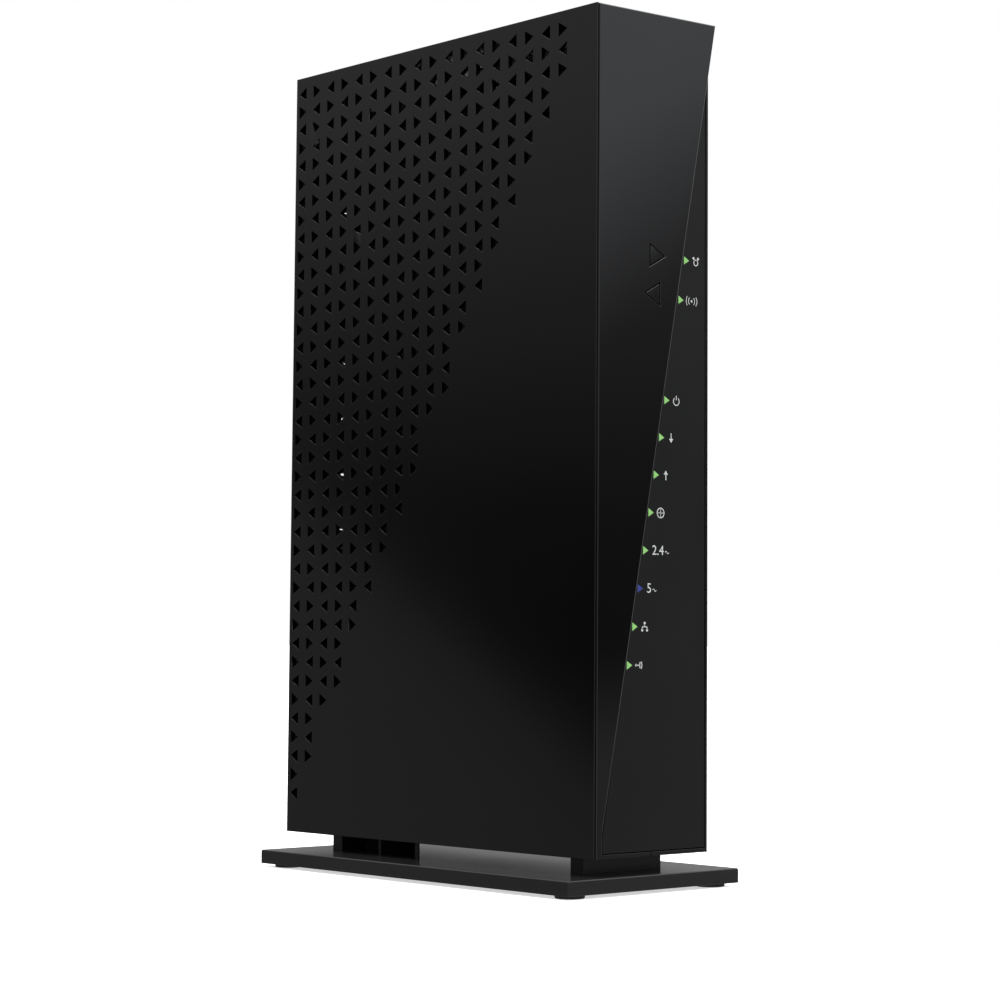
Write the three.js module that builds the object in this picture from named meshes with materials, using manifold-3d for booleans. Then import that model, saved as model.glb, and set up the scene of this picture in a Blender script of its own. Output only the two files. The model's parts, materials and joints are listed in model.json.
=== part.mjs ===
// Upright cable modem with wireless router, standing on a flat stand plate.
// Millimetres. X is the width, the front faces -Y, the sockets face +Y, Z is up.
// Every piece is laid out in the body's own frame, whose origin is the centre of the body's
// underside. The last lines move it all so that the origin is the middle of the outer box's base.
import * as THREE from 'three';
import { mergeVertices } from 'three/addons/utils/BufferGeometryUtils.js';
import Module from 'manifold-3d';

const wasm = await Module();
wasm.setup();

// ---- driving dimensions ----
const BODY_W = 42.2;
const BODY_D = 135.2;
const BODY_H = 228;
const WALL = 1.6;
const GAP = 0.3;
const FINE_GAP = 0.12;
const SOLDER = 0.1;
const OVERLAP = 0.2;

// the glossy front wedge and the crease that ends it
const FASCIA_RISE = 3;
const FASCIA_LEFT = -20.4;
const CREASE_FOOT_X = -18.1;
const CREASE_FOOT_Z = 5.9;
const SKIN_BACK = 1.4;

// stand under the body
const STAND_W = 63.2;
const STAND_FRONT = -69.3;
const STAND_BACK = 65.7;
const STAND_T = 4;
const STAND_CHAMFER = 0.25;
const NECK_H = 4.8;
const FOOT_DROP = 1;
const FOOT_R = 4;

// boards
const BOARD_T = 1.6;
const BOARD_FACE = -6.8;
const BOARD_FRONT = -52;
const BOARD_BACK = 58;
const BOARD_LOW = 10;
const BOARD_HIGH = 212;
const LED_BOARD_FACE = -59.8;

// sockets and buttons along the back, from the top down
const USB_Z = [196, 176];
const LAN_Z = [150, 133, 116, 99];
const RESET_Z = 84;
const COAX_Z = 66;
const POWER_Z = 45;
const DC_Z = 24;
const COAX_REACH = 9.5;
const SOCKET_FACE = 67;

// status windows and front buttons
const LED_PITCH = 10.25;
const LED_LOW_Z = 50.7;
const LED_LOW_X = -8.6;
const LED_LEAN = 0.19;
const LED_TOP_Z = [150.4, 161.5];
const LED_SIDE = 2.2;
const BUTTON_SIDE = 5.5;
const WPS_Z = 161.4;
const WIFI_Z = 151;
const BUTTON_MID_X = -0.7;
const FRONT_TRAVEL = 0.6;
const POWER_TRAVEL = 3;
const RESET_TRAVEL = 0.6;

const FRONT = -BODY_D / 2;
const BACK = BODY_D / 2;
const SIDE = BODY_W / 2;
const INNER = SIDE - WALL;
const CREASE_LEAN = (SIDE - CREASE_FOOT_X) / (BODY_H - CREASE_FOOT_Z);
const SKIN_REAR = FRONT + SKIN_BACK;

// ---- finishes ----
function finish(color, roughness, metalness = 0) {
  return { color, roughness, metalness };
}
const SATIN_BLACK = finish(0x252525, 0.55);
const GLOSS_BLACK = finish(0x101012, 0.12);
const PANEL_BLACK = finish(0x222222, 0.5);
const RUBBER = finish(0x141414, 0.9);
const CLEAR = finish(0xc8e6c0, 0.2);
const BOARD_GREEN = finish(0x1d5a36, 0.6);
const STEEL = finish(0xb8babc, 0.35, 1);
const NICKEL = finish(0xc9c5bb, 0.3, 1);
const ALUMINIUM = finish(0x9a9ca0, 0.4, 1);
const CHIP_BLACK = finish(0x18191b, 0.6);
const SOCKET_BLACK = finish(0x1b1b1c, 0.5);
const WHITE_PLASTIC = finish(0xe6e4dc, 0.5);
const CAP_SLEEVE = finish(0x1f2d55, 0.4);
const LEAD_GREY = finish(0x4a4c50, 0.5);
const RIBBON_WHITE = finish(0xdcdcd8, 0.5);

// ---- solids ----
const modem = new THREE.Group();

function toSolid(geometry) {
  geometry.deleteAttribute('normal');
  geometry.deleteAttribute('uv');
  const merged = mergeVertices(geometry, 1e-4);
  const mesh = new wasm.Mesh({
    numProp: 3,
    vertProperties: new Float32Array(merged.attributes.position.array),
    triVerts: new Uint32Array(merged.index.array),
  });
  return new wasm.Manifold(mesh);
}

function toGeometry(solid) {
  const mesh = solid.getMesh();
  const geometry = new THREE.BufferGeometry();
  geometry.setAttribute('position', new THREE.BufferAttribute(mesh.vertProperties, 3));
  geometry.setIndex(new THREE.BufferAttribute(mesh.triVerts, 1));
  return geometry;
}

function part(name, solid, look) {
  const mesh = new THREE.Mesh(toGeometry(solid), new THREE.MeshStandardMaterial(look));
  mesh.name = name;
  modem.add(mesh);
}

// a block between two corners, each given as [low, high] along one axis
function block([x0, x1], [y0, y1], [z0, z1]) {
  const geometry = new THREE.BoxGeometry(x1 - x0, y1 - y0, z1 - z0);
  geometry.translate((x0 + x1) / 2, (y0 + y1) / 2, (z0 + z1) / 2);
  return toSolid(geometry);
}

function prism(points, low, high) {
  const shape = new THREE.Shape(points.map(([a, b]) => new THREE.Vector2(a, b)));
  const geometry = new THREE.ExtrudeGeometry(shape, { depth: high - low, bevelEnabled: false });
  geometry.translate(0, 0, low);
  return geometry;
}

// an (x, y) outline, raised along Z
function prismZ(points, z0, z1) {
  return toSolid(prism(points, z0, z1));
}

// an (x, z) outline, drawn out along Y
function prismY(points, y0, y1) {
  return toSolid(prism(points, -y1, -y0).rotateX(Math.PI / 2));
}

// a (y, z) outline, drawn out along X
function prismX(points, x0, x1) {
  const turn = new THREE.Matrix4().makeBasis(
    new THREE.Vector3(0, 1, 0), new THREE.Vector3(0, 0, 1), new THREE.Vector3(1, 0, 0));
  return toSolid(prism(points, x0, x1).applyMatrix4(turn));
}

function rod(radius, low, high, sides) {
  const geometry = new THREE.CylinderGeometry(radius, radius, high - low, sides);
  return geometry.translate(0, (low + high) / 2, 0);
}

function rodY(x, z, radius, y0, y1, sides = 16) {
  return toSolid(rod(radius, y0, y1, sides).translate(x, 0, z));
}

function rodX(y, z, radius, x0, x1, sides = 16) {
  return toSolid(rod(radius, -x1, -x0, sides).rotateZ(Math.PI / 2).translate(0, y, z));
}

function rodZ(x, y, radius, z0, z1, sides = 16) {
  return toSolid(rod(radius, z0, z1, sides).rotateX(Math.PI / 2).translate(x, y, 0));
}

// equilateral triangle in (x, z) centred on its centroid; facing is +1 to point to +X
function triangle(x, z, side, facing) {
  const reach = side / Math.sqrt(3);
  const corners = [0, 120, 240].map((degrees) => {
    const angle = THREE.MathUtils.degToRad(degrees);
    return [x + facing * reach * Math.cos(angle), z + reach * Math.sin(angle)];
  });
  return facing > 0 ? corners : corners.reverse();
}

// ---- front wedge geometry ----
function fasciaY(x) {
  return FRONT - FASCIA_RISE * (x + SIDE) / BODY_W;
}

function creaseZ(x) {
  return CREASE_FOOT_Z + (x - CREASE_FOOT_X) / CREASE_LEAN;
}

function creaseX(z) {
  return CREASE_FOOT_X + (z - CREASE_FOOT_Z) * CREASE_LEAN;
}

// everything behind the wedge's sloping face, set back by depth
function behindFascia(depth, rear) {
  const left = -SIDE - 1;
  const right = SIDE + 1;
  return prismZ([
    [left, fasciaY(left) + depth], [right, fasciaY(right) + depth], [right, rear], [left, rear],
  ], -1, BODY_H + 1);
}

const PANEL_LOW = 1.4;
const PANEL_RIGHT = 19.9;

// the two front openings in the covers, which the wedge and the panel are let into
function frontRebates() {
  const rear = SKIN_REAR + GAP;
  const wedge = prismY([
    [FASCIA_LEFT - GAP, -1],
    [CREASE_FOOT_X + GAP, -1],
    [CREASE_FOOT_X + GAP, CREASE_FOOT_Z],
    [SIDE + 1, creaseZ(SIDE + 1 - GAP)],
    [FASCIA_LEFT - GAP, creaseZ(SIDE + 1 - GAP)],
  ], FRONT - 10, rear);
  const panel = prismY([
    [CREASE_FOOT_X, PANEL_LOW - GAP],
    [PANEL_RIGHT + GAP, PANEL_LOW - GAP],
    [PANEL_RIGHT + GAP, creaseZ(PANEL_RIGHT + GAP) + GAP],
    [CREASE_FOOT_X, CREASE_FOOT_Z + GAP],
  ], FRONT - 10, rear);
  return wedge.add(panel);
}

// ---- case ----
const BOARD_SCREWS = [[-44, 20], [30, 18], [-44, 202], [30, 204]];
const REAR_SCREW_X = -13.5;
const REAR_SCREW_Z = [12, 214];
const STAND_SCREWS = [[-8, -53.9], [8, -53.9], [-3.9, 48.7], [8, 46.5]];
const TAB_Y = [-40, 0, 40];

// half of the case: an outer wall with a top and a bottom flange that meet the other half
function coverShell(side) {
  const seam = side * GAP / 2;
  const span = [side * SIDE, seam].sort((a, b) => a - b);
  const hollow = [side * INNER, -side].sort((a, b) => a - b);
  const shell = block(span, [FRONT, BACK], [0, BODY_H]);
  return shell
    .subtract(block(hollow, [FRONT - 1, BACK + 1], [WALL, BODY_H - WALL]))
    .subtract(frontRebates());
}

function standBosses(cover, side) {
  let solid = cover;
  for (const [x, y] of STAND_SCREWS.filter(([sx]) => sx * side > 0)) {
    solid = solid.add(rodZ(x, y, 3.2, WALL - OVERLAP, 7.5));
    solid = solid.subtract(rodZ(x, y, 1.5, -1, 6.2));
  }
  return solid;
}

function leftCover() {
  let solid = standBosses(coverShell(-1), -1);
  const standoffEnd = BOARD_FACE - BOARD_T - GAP;
  for (const [y, z] of BOARD_SCREWS) {
    solid = solid.add(rodX(y, z, 3.2, -INNER - OVERLAP, standoffEnd));
    solid = solid.subtract(rodX(y, z, 1.4, standoffEnd - 7, standoffEnd + 1));
  }
  for (const z of REAR_SCREW_Z) {
    const boss = [-INNER - OVERLAP, REAR_SCREW_X + 3.5];
    solid = solid.add(block(boss, [57, 65.7], [z - 3.5, z + 3.5]));
    solid = solid.subtract(rodY(REAR_SCREW_X, z, 1.4, 58.5, 66));
  }
  // snap tabs that reach under the other half's flanges
  for (const y of TAB_Y) {
    const rise = WALL + GAP;
    for (const [z0, z1] of [[rise, rise + 1.2], [BODY_H - rise - 1.2, BODY_H - rise]]) {
      const root = z0 < BODY_H / 2 ? [WALL - OVERLAP, z1] : [z0, BODY_H - WALL + OVERLAP];
      solid = solid.add(block([-4, -1], [y - 5, y + 5], root));
      solid = solid.add(block([-1.2, 3.5], [y - 5, y + 5], [z0, z1]));
    }
  }
  return solid;
}

function frontFascia() {
  const outline = prismY([
    [FASCIA_LEFT, 0],
    [CREASE_FOOT_X, 0],
    [CREASE_FOOT_X, CREASE_FOOT_Z],
    [SIDE, BODY_H],
    [FASCIA_LEFT, BODY_H],
  ], FRONT - FASCIA_RISE - 1, SKIN_REAR);
  const pocketLeft = -18.7;
  const pocketTop = BODY_H - WALL;
  const pocket = prismY([
    [pocketLeft, creaseZ(pocketLeft + WALL)],
    [creaseX(pocketTop) - WALL, pocketTop],
    [pocketLeft, pocketTop],
  ], FRONT - FASCIA_RISE, SKIN_REAR + 1).intersect(behindFascia(WALL, SKIN_REAR + 1));
  let solid = outline.intersect(behindFascia(0, SKIN_REAR)).subtract(pocket);
  for (const z of [36, 104, 172]) {
    solid = solid.add(block([-19.2, -18], [SKIN_REAR - 1, -61], [z - 3, z + 3]));
  }
  for (const x of [-11, 6]) {
    solid = solid.add(block([x - 3, x + 3], [fasciaY(x) + WALL / 2, -61], [224.6, 226]));
  }
  const holeSide = BUTTON_SIDE + 2 * GAP * Math.sqrt(3);
  for (const [z, facing] of [[WPS_Z, 1], [WIFI_Z, -1]]) {
    solid = solid.subtract(prismY(triangle(BUTTON_MID_X, z, holeSide, facing), -75, -60));
  }
  return solid;
}

// ---- status windows ----
function ledPlaces() {
  const lower = Array.from({ length: 8 }, (_, i) => LED_LOW_Z + i * LED_PITCH);
  return [...lower, ...LED_TOP_Z].map((z) => [LED_LOW_X + (z - LED_LOW_Z) * LED_LEAN, z]);
}

const LED_BOARD_SCREWS = [[13, 52], [15.5, 135]];

function frontPanel() {
  const left = CREASE_FOOT_X + GAP;
  let solid = prismY([
    [left, PANEL_LOW],
    [PANEL_RIGHT, PANEL_LOW],
    [PANEL_RIGHT, creaseZ(PANEL_RIGHT - GAP)],
    [left, CREASE_FOOT_Z],
  ], FRONT, SKIN_REAR);
  for (const [x, z] of LED_BOARD_SCREWS) {
    solid = solid.add(rodY(x, z, 2.6, SKIN_REAR - OVERLAP, LED_BOARD_FACE - GAP));
    solid = solid.subtract(rodY(x, z, 1.2, -64.5, -59));
  }
  const holeSide = LED_SIDE + 2 * FINE_GAP * Math.sqrt(3);
  for (const [x, z] of ledPlaces()) {
    solid = solid.subtract(prismY(triangle(x, z, holeSide, 1), FRONT - 1, SKIN_REAR + 1));
  }
  return solid;
}

// one clear moulding: ten triangular pipes on a rail behind the panel
function lightPipe() {
  const places = ledPlaces();
  const [lowX, lowZ] = places[0];
  const [highX, highZ] = places[places.length - 1];
  const half = 2;
  let solid = prismY([
    [lowX - half, lowZ - half],
    [lowX + half, lowZ - half],
    [highX + half, highZ + half],
    [highX - half, highZ + half],
  ], -63, -61.6);
  for (const [x, z] of places) {
    solid = solid.add(prismY(triangle(x, z, LED_SIDE, 1), FRONT, -63 + OVERLAP));
  }
  return solid;
}

function ledBoard() {
  let solid = block([-15, 17], [LED_BOARD_FACE, LED_BOARD_FACE + BOARD_T], [42, 172]);
  for (const [x, z] of ledPlaces()) {
    const depth = [LED_BOARD_FACE - 0.8, LED_BOARD_FACE + OVERLAP];
    solid = solid.add(block([x - 0.8, x + 0.8], depth, [z - 0.8, z + 0.8]));
  }
  for (const [x, z] of LED_BOARD_SCREWS) {
    solid = solid.subtract(rodY(x, z, 1.4, LED_BOARD_FACE - 1, LED_BOARD_FACE + BOARD_T + 1));
  }
  return solid;
}

// ---- front push buttons: a triangular cap, a retaining flange and a short stem ----
const TACT_TOP = LED_BOARD_FACE - 2.3;

function frontButton(z, facing) {
  const cap = prismY(triangle(BUTTON_MID_X, z, BUTTON_SIDE, facing), -75, -65)
    .intersect(behindFascia(0, -65.2 + OVERLAP));
  const flange = block([BUTTON_MID_X - 3.6, BUTTON_MID_X + 3.6], [-65.2, -64.2], [z - 3.6, z + 3.6]);
  const stemEnd = TACT_TOP - FRONT_TRAVEL - FINE_GAP;
  return cap.add(flange).add(rodY(BUTTON_MID_X, z, 1.5, -64.2 - OVERLAP, stemEnd, 12));
}

function tactSwitch(z) {
  const base = block([BUTTON_MID_X - 3, BUTTON_MID_X + 3], [LED_BOARD_FACE - 1.7, LED_BOARD_FACE - SOLDER],
    [z - 3, z + 3]);
  return base.add(rodY(BUTTON_MID_X, z, 1.4, TACT_TOP, LED_BOARD_FACE - 1.5, 12));
}

// ---- sockets ----
const SOCKET_LOW = BOARD_FACE + SOLDER;

function usbPort(z) {
  const shell = block([SOCKET_LOW, 0.5], [50, SOCKET_FACE], [z - 7.2, z + 7.2]);
  const mouth = block([SOCKET_LOW + 1, -0.5], [54, SOCKET_FACE + 1], [z - 6.3, z + 6.3]);
  const tongueDepth = [54 - OVERLAP, SOCKET_FACE - 1.5];
  const tongue = block([SOCKET_LOW + 1.7, SOCKET_LOW + 3.5], tongueDepth, [z - 5.6, z + 5.6]);
  return shell.subtract(mouth).add(tongue);
}

function lanJack(z) {
  const depth = [54, SOCKET_FACE + 1];
  return block([SOCKET_LOW, 6.8], [48.5, SOCKET_FACE], [z - 8, z + 8])
    .subtract(block([-5.2, 1.8], depth, [z - 5.9, z + 5.9]))
    .subtract(block([1.6, 3.6], depth, [z - 3.3, z + 3.3]))
    .subtract(block([3.4, 5], depth, [z - 2, z + 2]));
}

const COAX_X = 0;

function coaxConnector() {
  return rodY(COAX_X, COAX_Z, 4.7, 60, BACK + COAX_REACH, 24)
    .add(rodY(COAX_X, COAX_Z, 6.4, 58.3, 61.5, 6))
    .subtract(rodY(COAX_X, COAX_Z, 3.7, 64, BACK + COAX_REACH + 1, 24));
}

function coaxNut() {
  return rodY(COAX_X, COAX_Z, 7, BACK + GAP, BACK + GAP + 2.8, 6)
    .subtract(rodY(COAX_X, COAX_Z, 5, BACK, BACK + 4, 24));
}

function coaxInsulator() {
  return rodY(COAX_X, COAX_Z, 3.4, 64 + GAP, BACK + COAX_REACH - 0.8, 24)
    .subtract(rodY(COAX_X, COAX_Z, 0.6, 70, BACK + COAX_REACH + 1, 8));
}

const DC_X = -1.7;

function dcInlet() {
  return block([SOCKET_LOW, 3.3], [52.5, SOCKET_FACE], [DC_Z - 5.5, DC_Z + 5.5])
    .subtract(rodY(DC_X, DC_Z, 3.2, 56, SOCKET_FACE + 1, 12))
    .add(rodY(DC_X, DC_Z, 1.05, 56 - OVERLAP, SOCKET_FACE - 1, 8));
}

const POWER_X = -2.2;
const SHAFT_END = 52;

function powerSwitch() {
  const well = [SHAFT_END - POWER_TRAVEL - 1, 60];
  return block([SOCKET_LOW, 2.3], [40, 58.6], [POWER_Z - 4.5, POWER_Z + 4.5])
    .subtract(block([POWER_X - 2, POWER_X + 2], well, [POWER_Z - 2, POWER_Z + 2]));
}

function powerButton() {
  return block([POWER_X - 3.5, POWER_X + 3.5], [63, BACK + 3.4], [POWER_Z - 3.5, POWER_Z + 3.5])
    .add(block([POWER_X - 1.7, POWER_X + 1.7], [SHAFT_END, 63 + OVERLAP], [POWER_Z - 1.7, POWER_Z + 1.7]));
}

const RESET_X = -3;

function resetSwitch() {
  return block([SOCKET_LOW, 0.4], [52, 57.6], [RESET_Z - 3.5, RESET_Z + 3.5])
    .add(rodY(RESET_X, RESET_Z, 1.2, 57.6 - OVERLAP, 59.2, 12));
}

function resetButton() {
  const inner = 59.2 + RESET_TRAVEL + FINE_GAP;
  return rodY(RESET_X, RESET_Z, 1.05, inner, BACK - 0.8, 12)
    .add(rodY(RESET_X, RESET_Z, 2.4, inner, inner + 1.2, 12));
}

function rearPanel() {
  const through = [BACK - WALL - 1, BACK + 1];
  const edge = INNER - GAP;
  let solid = block([-edge, edge], [BACK - WALL, BACK], [WALL + GAP, BODY_H - WALL - GAP]);
  const lanLow = Math.min(...LAN_Z) - 8 - GAP;
  const lanHigh = Math.max(...LAN_Z) + 8 + GAP;
  solid = solid.subtract(block([SOCKET_LOW - GAP, 6.8 + GAP], through, [lanLow, lanHigh]));
  for (const z of USB_Z) {
    solid = solid.subtract(block([SOCKET_LOW - GAP, 0.5 + GAP], through, [z - 7.2 - GAP, z + 7.2 + GAP]));
  }
  solid = solid.subtract(block([SOCKET_LOW - GAP, 3.3 + GAP], through, [DC_Z - 5.5 - GAP, DC_Z + 5.5 + GAP]));
  solid = solid.subtract(
    block([POWER_X - 3.5 - GAP, POWER_X + 3.5 + GAP], through, [POWER_Z - 3.5 - GAP, POWER_Z + 3.5 + GAP]));
  solid = solid.subtract(rodY(RESET_X, RESET_Z, 1.05 + GAP, ...through, 12));
  solid = solid.subtract(rodY(COAX_X, COAX_Z, 4.7 + GAP, ...through, 24));
  for (const z of REAR_SCREW_Z) {
    solid = solid.subtract(rodY(REAR_SCREW_X, z, 1.7, ...through, 12));
  }
  return solid;
}

// ---- main board and what stands on it ----
function mainBoard() {
  let solid = block([BOARD_FACE - BOARD_T, BOARD_FACE], [BOARD_FRONT, BOARD_BACK], [BOARD_LOW, BOARD_HIGH]);
  for (const [y, z] of BOARD_SCREWS) {
    solid = solid.subtract(rodX(y, z, 1.6, BOARD_FACE - BOARD_T - 1, BOARD_FACE + 1, 12));
  }
  return solid;
}

function onBoard(height, ySpan, zSpan) {
  return block([SOCKET_LOW, SOCKET_LOW + height], ySpan, zSpan);
}

// finned block: the fins run upward, so warm air rises between them
function heatSink() {
  const root = -4.4;
  const tip = 8;
  const base = 2;
  const fins = 8;
  const pitch = 5.8;
  const fin = 1.6;
  const start = -28;
  const outline = [[root, start]];
  for (let i = 0; i < fins; i += 1) {
    const y = start + i * pitch;
    if (i > 0) {
      outline.push([root + base, y]);
    }
    outline.push([tip, y], [tip, y + fin]);
    if (i < fins - 1) {
      outline.push([root + base, y + fin]);
    }
  }
  outline.push([root, start + (fins - 1) * pitch + fin]);
  return prismZ(outline, 92, 136);
}

function lead(points) {
  const route = new THREE.CatmullRomCurve3(points.map((p) => new THREE.Vector3(...p)), false, 'centripetal');
  const section = new THREE.Shape();
  section.absarc(0, 0, 0.6, 0, 2 * Math.PI);
  const options = { extrudePath: route, steps: 14, curveSegments: 8, bevelEnabled: false };
  return toSolid(new THREE.ExtrudeGeometry(section, options));
}

// flat ribbon from the status board to the main board's front edge
function ribbon() {
  const t = 0.3;
  return prismZ([
    [-6.3, -45], [-6.3, -50.5], [-3.4, -53], [-3.4, -57.9],
    [-3.4 + t, -57.9], [-3.4 + t, -53 + t], [-6.3 + t, -50.5 + t], [-6.3 + t, -45],
  ].reverse(), 96, 106);
}

// ---- screws: a flat head with a rounded rim and a plain shank ----
// the head faces headWay, and the middle of its top is at the given point
function screw([headR, headT, shankR, length], point, headWay) {
  const profile = [
    [0, 0], [headR * 0.8, 0], [headR, headT * 0.45], [headR, headT],
    [shankR, headT], [shankR, headT + length], [0, headT + length],
  ].map(([r, y]) => new THREE.Vector2(r, y));
  const inward = new THREE.Vector3(...headWay).negate();
  const turn = new THREE.Quaternion().setFromUnitVectors(new THREE.Vector3(0, 1, 0), inward);
  return toSolid(new THREE.LatheGeometry(profile, 12).applyQuaternion(turn).translate(...point));
}

// ---- stand ----
const FOOT_PLACES = [[-26, -63.9], [26, -63.9], [-26, 59.5], [26, 59.5]];

function standPlate() {
  const low = -NECK_H - STAND_T;
  const high = -NECK_H;
  const c = STAND_CHAMFER;
  const w = STAND_W / 2;
  const ends = prismX([
    [STAND_FRONT, low], [STAND_BACK, low], [STAND_BACK, high - c],
    [STAND_BACK - c, high], [STAND_FRONT + c, high], [STAND_FRONT, high - c],
  ], -w, w);
  const sides = prismY([
    [-w, low], [w, low], [w, high - c], [w - c, high], [-w + c, high], [-w, high - c],
  ], STAND_FRONT - 1, STAND_BACK + 1);
  let solid = ends.intersect(sides);
  solid = solid.add(block([-14.3, 14.3], [-56.5, -51.2], [high - OVERLAP, -GAP]));
  // the rear neck is cut away on a diagonal, from its left front corner to its right rear one
  const rearNeck = [[-15.5, 12], [-14.9, 12], [15.5, 52], [-15.5, 52]];
  solid = solid.add(prismZ(rearNeck, high - OVERLAP, -GAP));
  // two deep pockets open to its left side, with a thin rib between them
  solid = solid.subtract(prismZ([[-16, 12.6], [-3.5, 29.2], [-16, 29.2]], high, 0));
  solid = solid.subtract(block([-16, -6.5], [30.2, 47.6], [high, 0]));
  for (const [x, y] of STAND_SCREWS) {
    solid = solid.subtract(rodZ(x, y, 3.1, low - 1, low + 2.4));
    solid = solid.subtract(rodZ(x, y, 1.6, low, 0, 12));
  }
  for (const [x, y] of FOOT_PLACES) {
    solid = solid.subtract(rodZ(x, y, FOOT_R + GAP, low - 1, low + 0.7, 24));
  }
  return solid;
}

function foot(x, y) {
  const low = -NECK_H - STAND_T;
  return rodZ(x, y, FOOT_R, low - FOOT_DROP, low + 0.6, 24);
}

// ---- assembly ----
part('left_cover', leftCover(), SATIN_BLACK);
part('right_cover', standBosses(coverShell(1), 1), SATIN_BLACK);
part('front_fascia', frontFascia(), GLOSS_BLACK);
part('front_panel', frontPanel(), PANEL_BLACK);
part('rear_panel', rearPanel(), SATIN_BLACK);
part('status_light_pipe', lightPipe(), CLEAR);
part('status_board', ledBoard(), BOARD_GREEN);
part('wps_button', frontButton(WPS_Z, 1), PANEL_BLACK);
part('wifi_button', frontButton(WIFI_Z, -1), PANEL_BLACK);
part('wps_switch', tactSwitch(WPS_Z), CHIP_BLACK);
part('wifi_switch', tactSwitch(WIFI_Z), CHIP_BLACK);
LED_BOARD_SCREWS.forEach(([x, z], i) => {
  const top = [x, LED_BOARD_FACE + BOARD_T + GAP + 1.2, z];
  part(`status_board_screw_${i + 1}`, screw([2.2, 1.2, 0.9, 4.5], top, [0, 1, 0]), STEEL);
});

part('main_board', mainBoard(), BOARD_GREEN);
BOARD_SCREWS.forEach(([y, z], i) => {
  const top = [BOARD_FACE + GAP + 1.6, y, z];
  part(`main_board_screw_${i + 1}`, screw([2.6, 1.6, 1.1, 7], top, [1, 0, 0]), STEEL);
});
part('main_processor', onBoard(2, [-22, 5], [100, 127]), CHIP_BLACK);
part('heat_sink', heatSink(), ALUMINIUM);
part('memory_chip', onBoard(1.2, [-48, -34], [116, 128]), CHIP_BLACK);
part('wifi_shield_2g', onBoard(3.5, [-36, -6], [150, 182]), STEEL);
part('wifi_shield_5g', onBoard(3.5, [0, 30], [150, 182]), STEEL);
part('tuner_shield', onBoard(13, [26, 58], [54, 78]), STEEL);
part('lan_transformer', onBoard(5, [32, 46], [96, 146]), CHIP_BLACK);
part('filter_capacitor', rodX(12, 26, 4, SOCKET_LOW, 6), CAP_SLEEVE);
part('front_ribbon', ribbon(), RIBBON_WHITE);

USB_Z.forEach((z, i) => part(`usb_port_${i + 1}`, usbPort(z), STEEL));
LAN_Z.forEach((z, i) => part(`lan_jack_${i + 1}`, lanJack(z), SOCKET_BLACK));
part('coax_connector', coaxConnector(), NICKEL);
part('coax_insulator', coaxInsulator(), WHITE_PLASTIC);
part('coax_nut', coaxNut(), NICKEL);
part('dc_inlet', dcInlet(), SOCKET_BLACK);
part('power_switch', powerSwitch(), CHIP_BLACK);
part('power_button', powerButton(), PANEL_BLACK);
part('reset_switch', resetSwitch(), CHIP_BLACK);
part('reset_button', resetButton(), PANEL_BLACK);
REAR_SCREW_Z.forEach((z, i) => {
  const top = [REAR_SCREW_X, BACK + GAP + 1.6, z];
  part(`rear_screw_${i + 1}`, screw([2.8, 1.6, 1.1, 7], top, [0, 1, 0]), STEEL);
});

part('antenna_top', block([-12, -2], [-46, -8], [221.6, 222.4]), BOARD_GREEN);
part('antenna_front', block([4, 14], [-56.2, -55.4], [178, 214]), BOARD_GREEN);
part('antenna_side', block([18.2, 19], [6, 46], [186, 198]), BOARD_GREEN);
part('antenna_lead_top', lead([
  [-4, -9, 220.6], [-4, -4, 217], [-5, -4, 205], [-5.6, -10, 192], [-5.6, -20, 187],
]), LEAD_GREY);
part('antenna_lead_front', lead([
  [8, -54.4, 180], [6, -51, 183], [0, -48, 186], [-5.6, -44, 187], [-5.6, -34, 187],
]), LEAD_GREY);
part('antenna_lead_side', lead([
  [17.2, 8, 190], [14, 6, 188], [4, 8, 187], [-5.6, 12, 187], [-5.6, 20, 187],
]), LEAD_GREY);

part('stand', standPlate(), SATIN_BLACK);
STAND_SCREWS.forEach(([x, y], i) => {
  const top = [x, y, -NECK_H - STAND_T + 0.5];
  part(`stand_screw_${i + 1}`, screw([2.7, 1.6, 1.2, 12], top, [0, 0, -1]), STEEL);
});
FOOT_PLACES.forEach(([x, y], i) => part(`foot_${i + 1}`, foot(x, y), RUBBER));

// move the body's frame so that the outer box's base is centred on the origin
const OUTER_FRONT = FRONT - FASCIA_RISE;
const OUTER_BACK = BACK + COAX_REACH;
modem.position.set(0, -(OUTER_FRONT + OUTER_BACK) / 2, NECK_H + STAND_T + FOOT_DROP);

export default modem;
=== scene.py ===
import json
from math import cos, pi, radians, sin, sqrt, tau

import bmesh
import bpy
from mathutils import Matrix, Vector


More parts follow.
